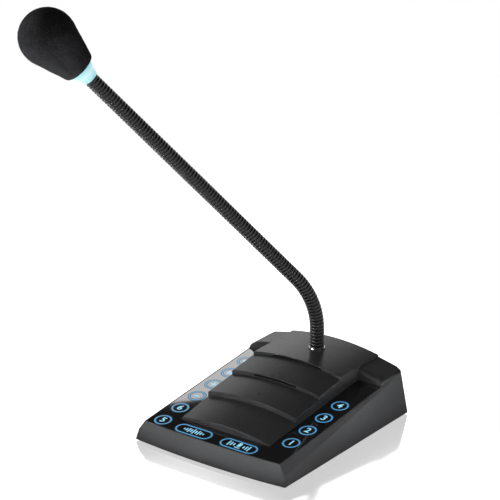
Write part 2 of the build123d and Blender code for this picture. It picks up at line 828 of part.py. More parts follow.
def make_neck_collar():
    ring = extrude(Circle(collar_radius) - Circle(neck_radius + snug), amount=collar_height)
    ring = chamfer(ring.edges().group_by(Axis.Z)[-1].sort_by(SortBy.RADIUS)[-1], collar_chamfer)
    return Pos(0, neck_y, neck_base) * ring


def make_neck_ferrule():
    ring = Circle(ferrule_radius) - Circle(ferrule_bore)
    return Pos(0, neck_y, neck_base) * extrude(ring, amount=down * ferrule_length)


def make_neck_washer():
    ring = Circle(washer_radius) - Circle(ferrule_radius + clearance)
    return Pos(0, neck_y, neck_boss_low) * extrude(ring, amount=down * washer_thickness)


def make_neck_nut():
    shape = RegularPolygon(nut_across_flats / 2, 6, major_radius=False)
    shape = shape - Circle(ferrule_radius + screw_play)
    return Pos(0, neck_y, neck_boss_low - washer_thickness) * extrude(shape, amount=down * nut_thickness)


# ------------------------------------------------------------- microphone head

def on_mic(shape):
    return neck_frame(neck_length) * shape


def ring_radius(z):
    return ring_small_radius + (ring_large_radius - ring_small_radius) * z / ring_length


def make_led_ring():
    inside_low, inside_high = ring_radius(ring_floor) - ring_wall, ring_radius(ring_length) - ring_wall
    return on_mic(revolved([
        (ring_hole, 0), (ring_small_radius, 0), (ring_large_radius, ring_length),
        (inside_high, ring_length), (inside_low, ring_floor), (ring_hole, ring_floor),
    ]))


def make_led_ring_board():
    radius = ring_radius(ring_board_level) - ring_wall - clearance / 2
    disc = extrude(Circle(radius) - Circle(ring_board_hole), amount=ring_board_thickness)
    return on_mic(Pos(0, 0, ring_board_level) * disc)


def make_ring_leds():
    top = ring_board_level + ring_board_thickness
    radius = ring_radius(ring_board_level) - ring_wall - ring_led_length
    align = (Align.CENTER, Align.CENTER, Align.MIN)
    chip = Box(ring_led_length, ring_led_width, led_height, align=align)
    return group([
        on_mic(Rot(0, 0, 360 / ring_leds * i) * Pos(radius, 0, top) * chip) for i in range(ring_leds)
    ])


def capsule_top():
    """Height of the capsule's face along the microphone's axis."""
    return ring_length + capsule_housing_length - grille_thickness - capsule_depth


def boot_foot():
    return capsule_top() - capsule_length - boot_floor


def make_capsule_housing():
    outer, inner = capsule_housing_radius, capsule_housing_radius - capsule_housing_wall
    spigot = ring_radius(ring_length - spigot_length) - ring_wall - clearance / 2
    low, high = ring_length, ring_length + capsule_housing_length
    return on_mic(revolved([
        (spigot, low - spigot_length), (spigot, low), (outer, low), (outer, high),
        (inner, high), (inner, boot_foot()), (inner - boot_ledge, boot_foot()),
        (inner - boot_ledge, low - spigot_length),
    ]))


def make_capsule_boot():
    outer = capsule_housing_radius - capsule_housing_wall - snug
    inner, lip = capsule_radius + snug, capsule_radius - boot_lip
    low, floor, top = boot_foot(), boot_foot() + boot_floor, capsule_top()
    return on_mic(revolved([
        (inner, floor), (inner, top), (outer, top), (outer, low), (lip, low), (lip, floor),
    ]))


def make_capsule():
    can = extrude(Circle(capsule_radius), amount=capsule_length)
    can = Pos(0, 0, capsule_top() - capsule_length) * can
    return on_mic(fillet(can.edges().group_by(Axis.Z)[-1], capsule_edge))


def make_capsule_grille():
    radius = capsule_housing_radius - capsule_housing_wall - snug
    high = ring_length + capsule_housing_length
    disc = Pos(0, 0, high) * extrude(Circle(radius), amount=down * grille_thickness)
    hole = Pos(0, 0, high) * Cylinder(grille_hole, 3 * grille_thickness)
    for ring_count, reach in grille_rings:
        for i in range(ring_count):
            disc = disc - Rot(0, 0, 360 / ring_count * i) * Pos(reach, 0, 0) * hole
    return on_mic(disc - hole)


def make_windscreen():
    low = ring_length + foam_seat
    centre = low + foam_length - foam_radius
    m = radians(foam_taper)
    touch = (foam_radius * cos(m), centre - foam_radius * sin(m))
    mark = radians(foam_crown_mark)
    upper = (foam_radius * cos(mark), centre + foam_radius * sin(mark))
    corner_z = low + foam_corner
    corner_x = touch[0] + ((corner_z - touch[1]) * sin(m) - foam_corner) / cos(m)
    leave = (corner_x + foam_corner * cos(m), corner_z - foam_corner * sin(m))
    half_turn = (radians(90) + m) / 2
    bulge = (corner_x + foam_corner * sin(half_turn), corner_z - foam_corner * cos(half_turn))
    bore = capsule_housing_radius + foam_bore_clearance
    bore_top = ring_length + capsule_housing_length + foam_over_capsule

    def spot(x, z):
        return (x, 0, z)

    crown = ThreePointArc(spot(0, centre + foam_radius), spot(*upper), spot(*touch))
    cone = Line(spot(*touch), spot(*leave))
    corner = ThreePointArc(spot(*leave), spot(*bulge), spot(corner_x, low))
    hollow = Polyline(
        spot(corner_x, low), spot(bore, low), spot(bore, bore_top), spot(0, bore_top),
        spot(0, centre + foam_radius),
    )
    return on_mic(revolve(make_face(crown + cone + corner + hollow), Axis.Z))


# ----------------------------------------------------------------------- write

def nodes():
    yield "top_cover", make_top_cover()
    yield "touch_panel", make_touch_panel()
    yield "key_light_guide", make_key_light_guide()
    yield "key_board", make_key_board()
    yield "key_leds", make_key_leds()
    yield "key_board_screws", make_key_board_screws()
    yield "bottom_cover", make_bottom_cover()
    yield "foot_ring", make_foot_ring()
    yield "housing_screws", make_housing_screws()
    yield "ballast_plate", make_ballast_plate()
    yield "ballast_screws", top_screws(
        ballast_screw_places(), bottom_thickness + ballast_thickness, ballast_thickness + ballast_bite,
    )
    yield "main_board", make_main_board()
    yield "main_board_chips", make_main_board_chips()
    yield "main_board_screws", top_screws(
        main_board_screw_places(), socket_floor(), main_board_thickness + small_screw_bite,
    )
    yield "rear_plate", make_rear_plate()
    yield "line_socket", make_line_socket()
    yield "dc_jack", make_dc_jack()
    yield "dc_pin", make_dc_pin()
    yield "audio_jack", make_audio_jack()
    yield "speaker_frame", make_speaker_frame()
    yield "speaker_magnet", make_speaker_magnet()
    yield "speaker_cone", make_speaker_cone()
    yield "speaker_gasket", make_speaker_gasket()
    yield "speaker_screws", top_screws(
        speaker_screw_places(), speaker_flange_height + speaker_flange, speaker_flange + small_screw_bite,
    )
    yield "neck_collar", make_neck_collar()
    yield "neck_ferrule", make_neck_ferrule()
    yield "neck_washer", make_neck_washer()
    yield "neck_nut", make_neck_nut()
    yield from neck_nodes()
    yield "led_ring", make_led_ring()
    yield "led_ring_board", make_led_ring_board()
    yield "ring_leds", make_ring_leds()
    yield "capsule_housing", make_capsule_housing()
    yield "capsule_boot", make_capsule_boot()
    yield "capsule", make_capsule()
    yield "capsule_grille", make_capsule_grille()
    yield "windscreen", make_windscreen()


os.makedirs("parts", exist_ok=True)
for node, shape in nodes():
    export(node, shape)
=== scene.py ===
import bpy
import bmesh
import json
from math import radians, sin, cos, pi, sqrt, atan
from mathutils import Vector, Matrix, noise


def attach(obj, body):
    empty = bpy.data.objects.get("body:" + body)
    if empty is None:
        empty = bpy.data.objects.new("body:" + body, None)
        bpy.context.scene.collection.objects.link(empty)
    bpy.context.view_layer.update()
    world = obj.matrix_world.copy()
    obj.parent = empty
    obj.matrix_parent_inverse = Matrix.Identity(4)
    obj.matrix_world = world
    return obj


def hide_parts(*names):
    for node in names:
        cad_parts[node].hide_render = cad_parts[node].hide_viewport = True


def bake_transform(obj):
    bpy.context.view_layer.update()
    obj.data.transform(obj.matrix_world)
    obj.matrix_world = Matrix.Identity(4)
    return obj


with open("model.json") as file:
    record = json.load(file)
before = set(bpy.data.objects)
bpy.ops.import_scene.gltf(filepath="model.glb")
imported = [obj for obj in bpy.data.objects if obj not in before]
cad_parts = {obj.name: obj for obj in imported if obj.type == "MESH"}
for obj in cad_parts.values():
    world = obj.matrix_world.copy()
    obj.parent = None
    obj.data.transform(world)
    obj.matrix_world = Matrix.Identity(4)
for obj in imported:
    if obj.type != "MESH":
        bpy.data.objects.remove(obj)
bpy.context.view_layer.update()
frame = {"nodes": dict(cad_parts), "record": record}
nodes = frame["nodes"]
mm = 0.001


def newObject(name, bm, material, smooth=True):
    mesh = bpy.data.meshes.new(name)
    bm.to_mesh(mesh)
    bm.free()
    if smooth:
        for face in mesh.polygons:
            face.use_smooth = True
    obj = bpy.data.objects.new(name, mesh)
    bpy.context.scene.collection.objects.link(obj)
    obj.data.materials.append(material)
    return obj


def sharpen(obj, angle):
    # edges that bend by more than the angle are shaded sharp
    mesh = obj.data
    bm = bmesh.new()
    bm.from_mesh(mesh)
    for edge in bm.edges:
        edge.smooth = len(edge.link_faces) == 2 and edge.calc_face_angle(0) < radians(angle)
    bm.to_mesh(mesh)
    bm.free()


def drawLine(bm, points):
    # an open line, ready to be spun, from radii and heights
    previous = None
    for radius, height in points:
        vertex = bm.verts.new((radius, 0, height))
        if previous:
            bm.edges.new((previous, vertex))
        previous = vertex


def standAt(place, first, second, third):
    # the place, with three directions that become the object's own x, y and z
    return Matrix.Translation(place) @ Matrix((first, second, third)).transposed().to_4x4()


def feed(tree, socket, value):
    # another node's output is linked to the socket, and a plain value is typed in
    if isinstance(value, bpy.types.NodeSocket):
        tree.links.new(value, socket)
    elif value is not None:
        socket.default_value = value


def mathNode(tree, operation, a, b=None, clamp=False):
    node = tree.nodes.new("ShaderNodeMath")
    node.operation = operation
    node.use_clamp = clamp
    feed(tree, node.inputs[0], a)
    feed(tree, node.inputs[1], b)
    return node.outputs[0]


def vectorNode(tree, operation, a, b=None):
    node = tree.nodes.new("ShaderNodeVectorMath")
    node.operation = operation
    feed(tree, node.inputs[0], a)
    feed(tree, node.inputs[1], b)
    return node


def noiseNode(tree, vector, scale, detail=2.0):
    node = tree.nodes.new("ShaderNodeTexNoise")
    node.inputs["Detail"].default_value = detail
    feed(tree, node.inputs["Vector"], vector)
    feed(tree, node.inputs["Scale"], scale)
    return node.outputs["Fac"]


def softStep(tree, value, start, end, first, last):
    # changes smoothly from first to last while the value goes from start to end
    node = tree.nodes.new("ShaderNodeMapRange")
    node.interpolation_type = "SMOOTHSTEP"
    for label, amount in zip(("From Min", "From Max", "To Min", "To Max"), (start, end, first, last)):
        node.inputs[label].default_value = amount
    feed(tree, node.inputs["Value"], value)
    return node.outputs["Result"]


def rampNode(tree, factor, stops):
    node = tree.nodes.new("ShaderNodeValToRGB")
    for element, (position, color) in zip(node.color_ramp.elements, stops):
        element.position = position
        element.color = (*color, 1)
    feed(tree, node.inputs["Fac"], factor)
    return node.outputs["Color"]


def addRelief(tree, shader, height, strength, distance):
    node = tree.nodes.new("ShaderNodeBump")
    node.inputs["Strength"].default_value = strength
    node.inputs["Distance"].default_value = distance
    feed(tree, node.inputs["Height"], height)
    feed(tree, shader.inputs["Normal"], node.outputs["Normal"])


def mixShaders(tree, share, first, second):
    node = tree.nodes.new("ShaderNodeMixShader")
    feed(tree, node.inputs[0], share)
    feed(tree, node.inputs[1], first.outputs[0])
    feed(tree, node.inputs[2], second.outputs[0])
    return node


def newMaterial(name):
    material = bpy.data.materials.new(name)
    material.use_nodes = True
    tree = material.node_tree
    return material, tree, tree.nodes["Principled BSDF"]


def objectCoords(tree):
    return tree.nodes.new("ShaderNodeTexCoord").outputs["Object"]


def newGroup(name, inputs, outputs):
    group = bpy.data.node_groups.new(name, "ShaderNodeTree")
    for label, kind, value in inputs:
        socket = group.interface.new_socket(label, in_out="INPUT", socket_type=kind)
        socket.default_value = value
    for label, kind in outputs:
        group.interface.new_socket(label, in_out="OUTPUT", socket_type=kind)
    start = group.nodes.new("NodeGroupInput").outputs
    end = group.nodes.new("NodeGroupOutput").inputs
    return group, start, end


surface = {
    "toneScale": 38.0, "toneDetail": 3.0,         # slow change of tone, in patches of about 25 mm
    "markScale": 170.0, "markDetail": 4.0,        # handling marks of about 6 mm
    "markShare": 0.6, "relief": 0.05 * mm,        # relief is the depth of the grain
}


def makeGrainGroup():
    # moulded or painted surface: fine grain, slow tone change, handling marks
    group, start, end = newGroup(
        "surfaceGrain",
        [("Color", "NodeSocketColor", (0.5, 0.5, 0.5, 1)), ("Grain Scale", "NodeSocketFloat", 2600.0),
         ("Tone Change", "NodeSocketFloat", 0.12), ("Roughness", "NodeSocketFloat", 0.5),
         ("Roughness Change", "NodeSocketFloat", 0.1)],
        [("Color", "NodeSocketColor"), ("Roughness", "NodeSocketFloat"), ("Height", "NodeSocketFloat")],
    )
    coords = objectCoords(group)
    grain = noiseNode(group, coords, start["Grain Scale"])
    slow = noiseNode(group, coords, surface["toneScale"], surface["toneDetail"])
    marks = noiseNode(group, coords, surface["markScale"], surface["markDetail"])
    slowTone = mathNode(group, "MULTIPLY", mathNode(group, "SUBTRACT", slow, 0.5), start["Tone Change"])
    fineTone = mathNode(group, "MULTIPLY", mathNode(group, "SUBTRACT", grain, 0.5), start["Tone Change"])
    bright = mathNode(group, "ADD", 1.0, mathNode(group, "ADD", slowTone, fineTone))
    toned = vectorNode(group, "SCALE", start["Color"])
    feed(group, toned.inputs["Scale"], bright)
    feed(group, end["Color"], toned.outputs["Vector"])
    mixed = mathNode(group, "ADD", mathNode(group, "MULTIPLY", marks, surface["markShare"]),
                     mathNode(group, "MULTIPLY", slow, 1 - surface["markShare"]))
    wear = mathNode(group, "MULTIPLY", mathNode(group, "SUBTRACT", mixed, 0.5),
                    start["Roughness Change"])
    feed(group, end["Roughness"], mathNode(group, "ADD", start["Roughness"], wear, clamp=True))
    feed(group, end["Height"], grain)
    return group


grainGroup = makeGrainGroup()


def grainMaterial(name, color, roughness, grain=2600.0, tone=0.12, wear=0.1, bump=0.15, metallic=0.0,
                  specular=0.5, coat=0.0, coatIor=1.5, emission=None, strength=0.0):
    material, tree, shader = newMaterial(name)
    effect = tree.nodes.new("ShaderNodeGroup")
    effect.node_tree = grainGroup
    effect.inputs["Color"].default_value = (*color, 1)
    effect.inputs["Grain Scale"].default_value = grain
    effect.inputs["Tone Change"].default_value = tone
    effect.inputs["Roughness"].default_value = roughness
    effect.inputs["Roughness Change"].default_value = wear
    feed(tree, shader.inputs["Base Color"], effect.outputs["Color"])
    feed(tree, shader.inputs["Roughness"], effect.outputs["Roughness"])
    addRelief(tree, shader, effect.outputs["Height"], bump, surface["relief"])
    shader.inputs["Metallic"].default_value = metallic
    shader.inputs["Specular IOR Level"].default_value = specular
    shader.inputs["Coat Weight"].default_value = coat
    shader.inputs["Coat IOR"].default_value = coatIor
    if emission:
        shader.inputs["Emission Color"].default_value = (*emission, 1)
        shader.inputs["Emission Strength"].default_value = strength
    return material


# one finish for each material slot: its colour, its roughness, then what differs from the usual grain
finish = {
    "housing": grainMaterial("charcoalPlastic", (0.075, 0.0757, 0.0775), 0.28, grain=3000,
                             tone=0.16, wear=0.05, specular=0.055),
    "bottom": grainMaterial("basePlastic", (0.024, 0.025, 0.027), 0.55, grain=1800, bump=0.3),
    "panel": grainMaterial("blackGlossPanel", (0.0035, 0.0038, 0.0045), 0.03, grain=400, tone=0.05,
                           wear=0.02, bump=0.004, specular=1.0, coat=1.0, coatIor=1.7),
    "light_guide": grainMaterial("frostedGuide", (0.70, 0.78, 0.82), 0.4, bump=0.1),
    "board": grainMaterial("greenBoard", (0.02, 0.14, 0.06), 0.35, grain=900, tone=0.3),
    "key_light": grainMaterial("keyLamp", (0.45, 0.62, 0.85), 0.3, emission=(0.15, 0.45, 1.0),
                               strength=0.6),
    "steel": grainMaterial("zincSteel", (0.55, 0.56, 0.58), 0.32, grain=700, tone=0.2, wear=0.25,
                           metallic=1.0),
    "rubber": grainMaterial("footRubber", (0.018, 0.018, 0.019), 0.75, grain=1500, bump=0.35),
    "chip": grainMaterial("chipResin", (0.015, 0.015, 0.017), 0.5),
    "socket": grainMaterial("socketNylon", (0.014, 0.014, 0.016), 0.42, grain=1500),
    "brass": grainMaterial("brassPin", (0.72, 0.55, 0.26), 0.25, grain=900, metallic=1.0),
    "speaker_metal": grainMaterial("speakerPaint", (0.03, 0.03, 0.033), 0.5, metallic=0.3),
    "cone": grainMaterial("speakerCone", (0.02, 0.02, 0.022), 0.7, grain=1200, bump=0.4),
    "foam_seal": grainMaterial("sealFoam", (0.02, 0.02, 0.02), 0.9, grain=1400, bump=0.6),
    "chrome": grainMaterial("collarChrome", (0.34, 0.345, 0.36), 0.22, grain=500, tone=0.05,
                            bump=0.02, metallic=1.0),
    "neck": grainMaterial("ribbedSleeve", (0.0025, 0.0026, 0.003), 0.36, grain=2400, tone=0.2,
                          wear=0.15, bump=0.1),
    "mic": grainMaterial("anodisedCapsule", (0.10, 0.105, 0.11), 0.4, grain=1800, metallic=0.9),
}

foamLook = {                                      # pit and strut: place on the ramp, and colour; the darker pit colour is painted shade
    "cellScale": 1150.0, "cellDepth": 0.9, "fineScale": 2400.0, "fineDepth": 0.5,
    "cloudScale": 60.0, "cloudLeast": 0.7, "cloudChange": 0.6,
    "paintedPitShade": (0.25, (0.007, 0.0071, 0.0075)), "strut": (0.95, (0.027, 0.0273, 0.0288)),
    "roughness": 0.95, "specular": 0.02, "bump": 0.3, "relief": 0.15 * mm,
}


def makeFoamMaterial():
    # open cells: the pits between the lighter struts are painted darker, as painted shade in the
    # hollows, with random cloudy tone
    material, tree, shader = newMaterial("windscreenFoam")
    coords = objectCoords(tree)
    cells = tree.nodes.new("ShaderNodeTexVoronoi")
    cells.inputs["Scale"].default_value = foamLook["cellScale"]
    feed(tree, cells.inputs["Vector"], coords)
    fine = noiseNode(tree, coords, foamLook["fineScale"], 3.0)
    cloud = noiseNode(tree, coords, foamLook["cloudScale"])
    coarse = mathNode(tree, "MULTIPLY", cells.outputs["Distance"], foamLook["cellDepth"])
    height = mathNode(tree, "ADD", coarse, mathNode(tree, "MULTIPLY", fine, foamLook["fineDepth"]))
    clouded = mathNode(tree, "ADD", foamLook["cloudLeast"],
                       mathNode(tree, "MULTIPLY", cloud, foamLook["cloudChange"]))
    # the colour follows the bump's depth, so the hollows get painted shade, varied by the random cloud
    tone = mathNode(tree, "MULTIPLY", height, clouded)
    feed(tree, shader.inputs["Base Color"], rampNode(tree, tone, (foamLook["paintedPitShade"], foamLook["strut"])))
    shader.inputs["Roughness"].default_value = foamLook["roughness"]
    shader.inputs["Specular IOR Level"].default_value = foamLook["specular"]
    addRelief(tree, shader, height, foamLook["bump"], foamLook["relief"])
    return material


def paint(obj, material):
    for materialSlot in obj.material_slots:
        materialSlot.material = material


finish["foam"] = makeFoamMaterial()
slotOf = {part["node"]: part["material_slot"] for part in frame["record"]["subparts"]}
for node, obj in nodes.items():
    if slotOf.get(node) in finish:
        paint(obj, finish[slotOf[node]])
print("stage: materials")

neck = {
    "base": Vector((0, 53.2, 41.7)) * mm,         # foot of the neck, on the housing
    "lead": 15.3 * mm,                            # straight run before the bend
    "bendRadius": 59.0 * mm,
    "bend": radians(42.3),
    "swing": radians(-43.5),
    "length": 267.8 * mm,
    "radius": 5.25 * mm,
    "pitch": 2.5 * mm,                            # of the winding
    "steps": 28,
    "weld": 0.02 * mm,
    "sharpAbove": 50,                             # degrees
    "firstHinge": 20.0 * mm,
    "hingePitch": 31.0 * mm,
    "hingeCount": 8,
    "blendMargin": 2.0 * mm,                      # at both ends of a piece
}
# one winding: share of the pitch, and depth below the crest in mm
winding = ((0.0, 0.62), (0.10, 0.62), (0.26, 0.10), (0.42, 0.0), (0.68, 0.0), (0.84, 0.10))
lean = Vector((sin(neck["swing"]), -cos(neck["swing"]), 0))      # the way the neck leans
side = Vector((cos(neck["swing"]), sin(neck["swing"]), 0))       # and across it


def neckPoint(s):
    # the centre line and its direction, at a length s from the foot
    lead, radius, bend = neck["lead"], neck["bendRadius"], neck["bend"]
    if s <= lead:
        reach, rise, angle = 0.0, s, 0.0
    elif s <= lead + radius * bend:
        angle = (s - lead) / radius
        reach, rise = radius * (1 - cos(angle)), lead + radius * sin(angle)
    else:
        angle, rest = bend, s - lead - radius * bend
        reach = radius * (1 - cos(angle)) + rest * sin(angle)
        rise = lead + radius * sin(angle) + rest * cos(angle)
    along = lean * sin(angle) + Vector((0, 0, cos(angle)))
    return neck["base"] + lean * reach + Vector((0, 0, rise)), along


def ontoNeck(vertex):
    # a point of the straight sleeve, with z along the neck, to its place on the bent line
    centre, along = neckPoint(vertex.z)
    return centre + side * vertex.x + along.cross(side) * vertex.y


def makeSleeveCore():
    # the line of all windings is spun as a helix that climbs one pitch, so the sleeve is one spiral
    bm = bmesh.new()
    pitch = neck["pitch"]
    turns = range(-2, int(neck["length"] / pitch) + 3)      # some run past both ends
    drawLine(bm, [(neck["radius"] - depth * mm, (turn + share) * pitch)
                  for turn in turns for share, depth in winding])
    bmesh.ops.spin(bm, geom=bm.verts[:] + bm.edges[:], cent=(0, 0, 0), axis=(0, 0, 1), angle=2 * pi,
                   steps=neck["steps"], dvec=(0, 0, pitch / neck["steps"]), use_merge=False)
    bmesh.ops.remove_doubles(bm, verts=bm.verts, dist=neck["weld"])
    return bm


def makeSleeve(core, name, low, high):
    # one length of the spiral, cut square and closed at both ends, then bent
    bm = core.copy()
    for height, direction in ((low, -1), (high, 1)):
        cut = bmesh.ops.bisect_plane(bm, geom=bm.verts[:] + bm.edges[:] + bm.faces[:], dist=1e-7,
                                     plane_co=(0, 0, height), plane_no=(0, 0, direction),
                                     clear_outer=True)
        rim = [e for e in cut["geom_cut"] if isinstance(e, bmesh.types.BMEdge)]
        bmesh.ops.holes_fill(bm, edges=rim, sides=0)
    bmesh.ops.recalc_face_normals(bm, faces=bm.faces)
    for vertex in bm.verts:
        vertex.co = ontoNeck(vertex.co)
    obj = newObject(name, bm, finish["neck"])
    sharpen(obj, neck["sharpAbove"])
    return obj


def makeNeck():
    core = makeSleeveCore()
    count = neck["hingeCount"]
    replaced = [["neck_root"]] + [[f"neck_link_{i + 1}"] for i in range(count - 2)]
    replaced.append([f"neck_link_{count - 1}", "neck_tip"])
    half = neck["hingePitch"] / 2
    for i in range(count):
        hinge = neck["firstHinge"] + i * neck["hingePitch"]
        low = 0.0 if i == 0 else hinge - half
        high = neck["length"] if i == count - 1 else hinge + half
        piece = makeSleeve(core, f"sleeve_{i + 1}", low, high)
        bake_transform(piece)
        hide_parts(*replaced[i])
    core.free()


makeNeck()
print("stage: gooseneck")

micEnd, micAxis = neckPoint(neck["length"])
micFrame = standAt(micEnd, side, micAxis.cross(side), micAxis)

foam = {                                          # millimetres from the neck's end, taper in degrees
    "seat": 0.3, "length": 51.7, "radius": 20.1, "taper": 16.7, "corner": 3.5, "ringLength": 9.6,
    "bore": 8.4, "boreTop": 38.2, "boreCorner": 1.0, "mouthFlare": 0.8, "mouthDepth": 0.6,
    "headSteps": 60, "coneSteps": 24, "cornerSteps": 8, "spinSteps": 128, "weld": 0.004,
}
unevenness = {                                    # of cut foam, outside the bore and its clear margin
    "height": 0.16, "sink": 0.05, "fineScale": 620, "fine": 0.6, "coarseScale": 190, "coarse": 0.8,
    "clearWall": 1.0, "clearTop": 2.0,
}


def foamOutline():
    # from the pole over the round head and down the cone, round the lower corner and up the bore
    low = foam["ringLength"] + foam["seat"]
    radius, taper, corner = foam["radius"], radians(foam["taper"]), foam["corner"]
    centre = low + foam["length"] - radius
    points = [(0.0, centre + radius)]
    for i in range(1, foam["headSteps"] + 1):
        angle = radians(90) - (radians(90) + taper) * i / foam["headSteps"]
        points.append((radius * cos(angle), centre + radius * sin(angle)))
    startX, startZ = points[-1]
    cornerZ = low + corner
    cornerX = startX + ((cornerZ - startZ) * sin(taper) - corner) / cos(taper)
    endX, endZ = cornerX + corner * cos(taper), cornerZ - corner * sin(taper)
    for i in range(1, foam["coneSteps"] + 1):
        share = i / foam["coneSteps"]
        points.append((startX + (endX - startX) * share, startZ + (endZ - startZ) * share))
    for i in range(1, foam["cornerSteps"] + 1):
        angle = -taper - (radians(90) - taper) * i / foam["cornerSteps"]
        points.append((cornerX + corner * cos(angle), cornerZ + corner * sin(angle)))
    bore, top, cut = foam["bore"], foam["boreTop"], foam["boreCorner"]
    return points + [(bore + foam["mouthFlare"], low), (bore, low + foam["mouthDepth"]),
                     (bore, top - cut), (bore - cut, top), (0.0, top)]


def makeWindscreen():
    bm = bmesh.new()
    drawLine(bm, [(radius * mm, height * mm) for radius, height in foamOutline()])
    bmesh.ops.spin(bm, geom=bm.verts[:] + bm.edges[:], cent=(0, 0, 0), axis=(0, 0, 1), angle=2 * pi,
                   steps=foam["spinSteps"], use_merge=True)
    bmesh.ops.remove_doubles(bm, verts=bm.verts, dist=foam["weld"] * mm)
    bmesh.ops.recalc_face_normals(bm, faces=bm.faces)
    wall = (foam["bore"] + unevenness["clearWall"]) * mm
    top = (foam["boreTop"] + unevenness["clearTop"]) * mm
    for vertex in bm.verts:
        if vertex.co.xy.length > wall or vertex.co.z > top:
            lift = (noise.noise(vertex.co * unevenness["fineScale"]) * unevenness["fine"]
                    + noise.noise(vertex.co * unevenness["coarseScale"]) * unevenness["coarse"])
            vertex.co += vertex.normal * (lift * unevenness["height"] - unevenness["sink"]) * mm
    bm.transform(micFrame)
    obj = newObject("foamWindscreen", bm, finish["foam"])
    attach(obj, "windscreen")
    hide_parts("windscreen")


makeWindscreen()

ring = {                                          # middle and halfLength in mm, from the neck's end
    "middle": 5.2, "halfLength": 4.8, "cloudScale": 90.0, "cloud": 0.3,
    "bright": (0.62, 0.97, 1.0), "dim": (0.20, 0.55, 0.62), "strength": 0.72,
    "base": (0.40, 0.58, 0.60), "roughness": 0.35,
}


def makeRingMaterial():
    # brightest at the middle of the ring's length
    material, tree, shader = newMaterial("litRing")
    coords = objectCoords(tree)
    cloud = noiseNode(tree, coords, ring["cloudScale"])
    place = vectorNode(tree, "SUBTRACT", coords, (micEnd + micAxis * ring["middle"] * mm)[:])
    along = vectorNode(tree, "DOT_PRODUCT", place.outputs["Vector"], micAxis[:]).outputs["Value"]
    far = mathNode(tree, "ABSOLUTE", mathNode(tree, "MULTIPLY", along, 1 / (ring["halfLength"] * mm)))
    clouds = mathNode(tree, "MULTIPLY", mathNode(tree, "SUBTRACT", cloud, 0.5), ring["cloud"])
    glowColor = rampNode(tree, mathNode(tree, "ADD", far, clouds),
                         ((0.0, ring["bright"]), (1.0, ring["dim"])))
    feed(tree, shader.inputs["Emission Color"], glowColor)
    shader.inputs["Emission Strength"].default_value = ring["strength"]
    shader.inputs["Base Color"].default_value = (*ring["base"], 1)
    shader.inputs["Roughness"].default_value = ring["roughness"]
    return material


finish["ring_light"] = makeRingMaterial()
paint(nodes["led_ring"], finish["ring_light"])
print("stage: microphone head")

panel = {                                         # millimetres, slope is rise over run
    "front": -70.6, "frontHeight": 14.1, "slope": 0.106, "stand": 1.2, "above": 0.012,
    "keyX": 47.9, "keyFirst": -63.1, "keyPitch": 19.14, "leftKeys": 6, "rightKeys": 4,
    "strokeRadius": 5.68, "stroke": 2.1, "strokeSteps": 64,
    "pillX": 19.3, "pillY": -65.0, "pillLength": 30.0, "pillWidth": 11.0, "pillInset": 0.6,
}
panelRise = panel["frontHeight"] - panel["slope"] * panel["front"] + panel["stand"]
panelFrame = Matrix.Translation((0, 0, panelRise * mm)) @ Matrix.Rotation(atan(panel["slope"]), 4, "X")
stretch = sqrt(1 + panel["slope"] ** 2)           # of lengths along the slope


def keyColumn(x, first, count):
    return [(x, (panel["keyFirst"] + (first + i) * panel["keyPitch"]) * stretch) for i in range(count)]


leftKeys = keyColumn(-panel["keyX"], 0, panel["leftKeys"])
rightKeys = keyColumn(panel["keyX"], 1, panel["rightKeys"])
pills = [(sign * panel["pillX"], panel["pillY"] * stretch) for sign in (-1, 1)]

glow = {
    "strokeInner": (0.13, 0.50, 0.90), "strokeOuter": (0.002, 0.012, 0.035), "strokePower": 2.2,
    "glyphInner": (0.36, 0.80, 1.0), "glyphOuter": (0.03, 0.14, 0.30), "glyphPower": 1.0,
    "strength": 1.0, "base": (0.01, 0.02, 0.03), "roughness": 0.12,
}


def makeGlowMaterial(name, inner, outer, power):
    # glow that fades across the stroke; the mesh carries the fade in its UV map
    material, tree, shader = newMaterial(name)
    uv = tree.nodes.new("ShaderNodeUVMap")
    uv.uv_map = "fade"
    split = tree.nodes.new("ShaderNodeSeparateXYZ")
    feed(tree, split.inputs[0], uv.outputs["UV"])
    mix = tree.nodes.new("ShaderNodeMix")
    mix.data_type = "RGBA"
    mix.inputs["A"].default_value = (*outer, 1)
    mix.inputs["B"].default_value = (*inner, 1)
    feed(tree, mix.inputs["Factor"], mathNode(tree, "POWER", split.outputs["X"], power))
    feed(tree, shader.inputs["Emission Color"], mix.outputs["Result"])
    shader.inputs["Emission Strength"].default_value = glow["strength"]
    shader.inputs["Base Color"].default_value = (*glow["base"], 1)
    shader.inputs["Roughness"].default_value = glow["roughness"]
    return material


finish["keyStroke"] = makeGlowMaterial("keyStrokeGlow", glow["strokeInner"], glow["strokeOuter"],
                                       glow["strokePower"])
finish["keyGlyph"] = makeGlowMaterial("keyGlyphGlow", glow["glyphInner"], glow["glyphOuter"],
                                      glow["glyphPower"])


def markPlace(centre):
    return panelFrame @ Matrix.Translation((centre[0] * mm, centre[1] * mm, panel["above"] * mm))


def strokeBand(bm, fade, place, radius, halfRun):
    # closed stroke, drawn as a ring whose halves are pulled apart for the long keys
    bands = (-1.0, -0.7, -0.42, -0.2, 0.0, 0.2, 0.42, 0.7, 1.0)      # from its inside to its outside
    steps = panel["strokeSteps"]
    rings = []
    for share in bands:
        made = bmesh.ops.create_circle(bm, cap_ends=False, segments=steps,
                                       radius=(radius + share * panel["stroke"] / 2) * mm)
        for vertex in made["verts"]:
            if abs(vertex.co.x) > 1e-7:
                vertex.co.x += halfRun * mm * (1 if vertex.co.x > 0 else -1)
        rings.append(made["verts"])
    edges = {frozenset(e.verts): e for e in bm.edges}
    for inner, outer in zip(rings, rings[1:]):
        loops = [edges[frozenset((loop[i], loop[(i + 1) % steps]))]
                 for loop in (inner, outer) for i in range(steps)]
        bmesh.ops.bridge_loops(bm, edges=loops)
    for share, ringVerts in zip(bands, rings):
        for vertex in ringVerts:
            vertex[fade] = 1.0 - abs(share)
            vertex.co = place @ vertex.co


